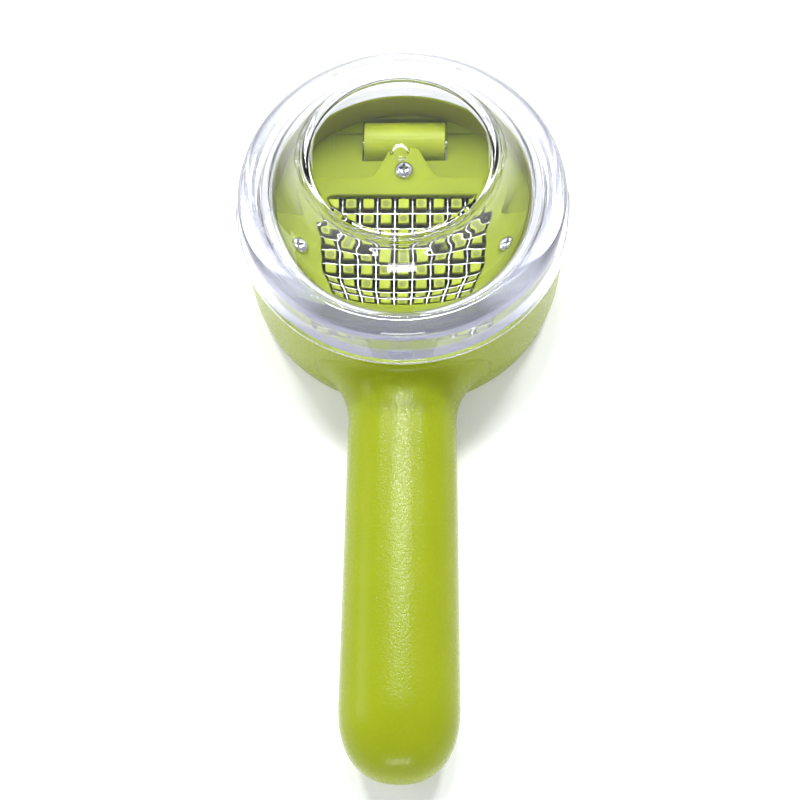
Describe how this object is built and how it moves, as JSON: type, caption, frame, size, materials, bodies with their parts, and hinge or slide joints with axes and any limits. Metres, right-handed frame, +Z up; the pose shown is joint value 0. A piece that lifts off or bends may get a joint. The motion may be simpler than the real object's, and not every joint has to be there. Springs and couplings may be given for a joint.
{
  "type": "hand vegetable dicer",
  "caption": "Hand-held two-lever dicer for garlic and small vegetables: round head with a square blade grid, a hinged peg pusher, a clear collecting cap and a long rounded handle.",
  "frame": {"origin": "middle of the bounding box at the surface the tool lies on", "axes": "+Y along the handle towards the head, +Z up through the clear cap, +X to the right when looking along +Y"},
  "size_m": [0.0772, 0.1668, 0.054],
  "materials": {
    "lime_plastic": "satin moulded lime green plastic with a fine grain",
    "blade_steel": "thin stainless steel strip",
    "screw_steel": "bright plated steel",
    "clear_plastic": "clear polished plastic"
  },
  "bodies": {
    "lower_lever": {"lower_knuckle": "lime_plastic", "lower_arm": "lime_plastic", "peg_block": "lime_plastic", "lower_handle": "lime_plastic"},
    "upper_lever": {"head_shell": "lime_plastic", "head_deck": "lime_plastic", "chamber_wall": "lime_plastic", "grid_seat": "lime_plastic", "blade_frame": "lime_plastic", "blade_rim": "blade_steel", "long_blade_1": "blade_steel", "long_blade_2": "blade_steel", "long_blade_3": "blade_steel", "long_blade_4": "blade_steel", "long_blade_5": "blade_steel", "long_blade_6": "blade_steel", "long_blade_7": "blade_steel", "long_blade_8": "blade_steel", "cross_blade_1": "blade_steel", "cross_blade_2": "blade_steel", "cross_blade_3": "blade_steel", "cross_blade_4": "blade_steel", "cross_blade_5": "blade_steel", "cross_blade_6": "blade_steel", "cross_blade_7": "blade_steel", "frame_screw_far": "screw_steel", "frame_screw_left": "screw_steel", "frame_screw_right": "screw_steel", "hinge_pin": "screw_steel", "upper_handle": "lime_plastic"},
    "cap": {"clear_cap": "clear_plastic", "cap_tab": "clear_plastic"}
  },
  "joints": [
    {"name": "lever_hinge", "type": "hinge", "parent": "lower_lever", "child": "upper_lever", "pos_m": [0, 0.0696, 0.0162], "axis": [-1, 0, 0], "range_deg": [0, 55]},
    {"name": "cap_lift", "type": "slide", "parent": "upper_lever", "child": "cap", "axis": [0, 0, 1], "range_m": [0, 0.04]}
  ]
}
